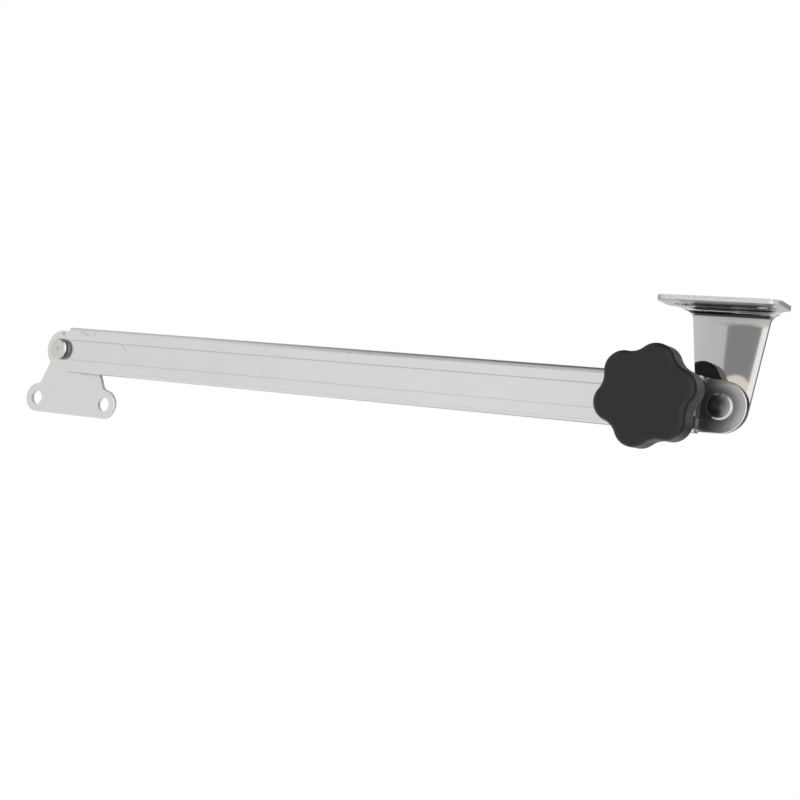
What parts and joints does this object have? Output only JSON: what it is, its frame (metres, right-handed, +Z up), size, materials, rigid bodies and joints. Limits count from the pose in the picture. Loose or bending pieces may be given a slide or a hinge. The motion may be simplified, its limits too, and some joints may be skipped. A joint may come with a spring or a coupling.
{
  "type": "telescopic lid support",
  "caption": "Telescopic stainless lid support: a slotted channel slides on a flat bar, clamped by a star knob, between a side plate and a lid bracket.",
  "frame": {"origin": "midway between the side plate's two screw holes, on its mounting face", "axes": "+X along the arm towards the lid bracket, +Y into the wall that the side plate is screwed to, +Z up towards the lid"},
  "size_m": [0.3075, 0.0307, 0.0574],
  "materials": {
    "satin_steel": "polished stainless sheet, soft sheen",
    "turned_steel": "turned stainless, fine rings",
    "mirror_steel": "mirror polished stainless",
    "black_plastic": "moulded, fine matt grain",
    "brass": "machined"
  },
  "bodies": {
    "base": {"side_plate": "satin_steel", "plate_pivot_pin": "turned_steel", "plate_pivot_spacer": "turned_steel"},
    "slide": {"slide_bar": "satin_steel", "clamp_stud": "turned_steel"},
    "arm": {"outer_channel": "satin_steel", "stop_rivet": "turned_steel"},
    "clamp": {"clamp_washer": "turned_steel"},
    "knob": {"knob": "black_plastic", "knob_insert": "brass"},
    "lid_end": {"lid_bracket": "mirror_steel", "bracket_pivot_pin": "turned_steel", "bracket_pivot_washer": "turned_steel"}
  },
  "joints": [
    {"name": "plate_pivot", "type": "hinge", "parent": "base", "child": "slide", "pos_m": [-0.0026, -0.005, 0.0202], "axis": [0, -1, 0], "range_deg": [-30, 110]},
    {"name": "arm_slide", "type": "slide", "parent": "slide", "child": "arm", "axis": [1, 0, 0], "range_m": [0, 0.165]},
    {"name": "bracket_pivot", "type": "hinge", "parent": "arm", "child": "lid_end", "pos_m": [0.2649, -0.003, 0.0202], "axis": [0, -1, 0], "range_deg": [-90, 30]},
    {"name": "clamp_travel", "type": "slide", "parent": "slide", "child": "clamp", "axis": [0, -1, 0], "range_m": [0, 0.0015]},
    {"name": "knob_turn", "type": "hinge", "parent": "clamp", "child": "knob", "pos_m": [0.2494, -0.01, 0.0202], "axis": [0, -1, 0], "range_deg": [0, 545]}
  ],
  "couplings": [
    {"joint": "knob_turn", "follows": "clamp_travel", "rad_per_m": 6283.2}
  ]
}
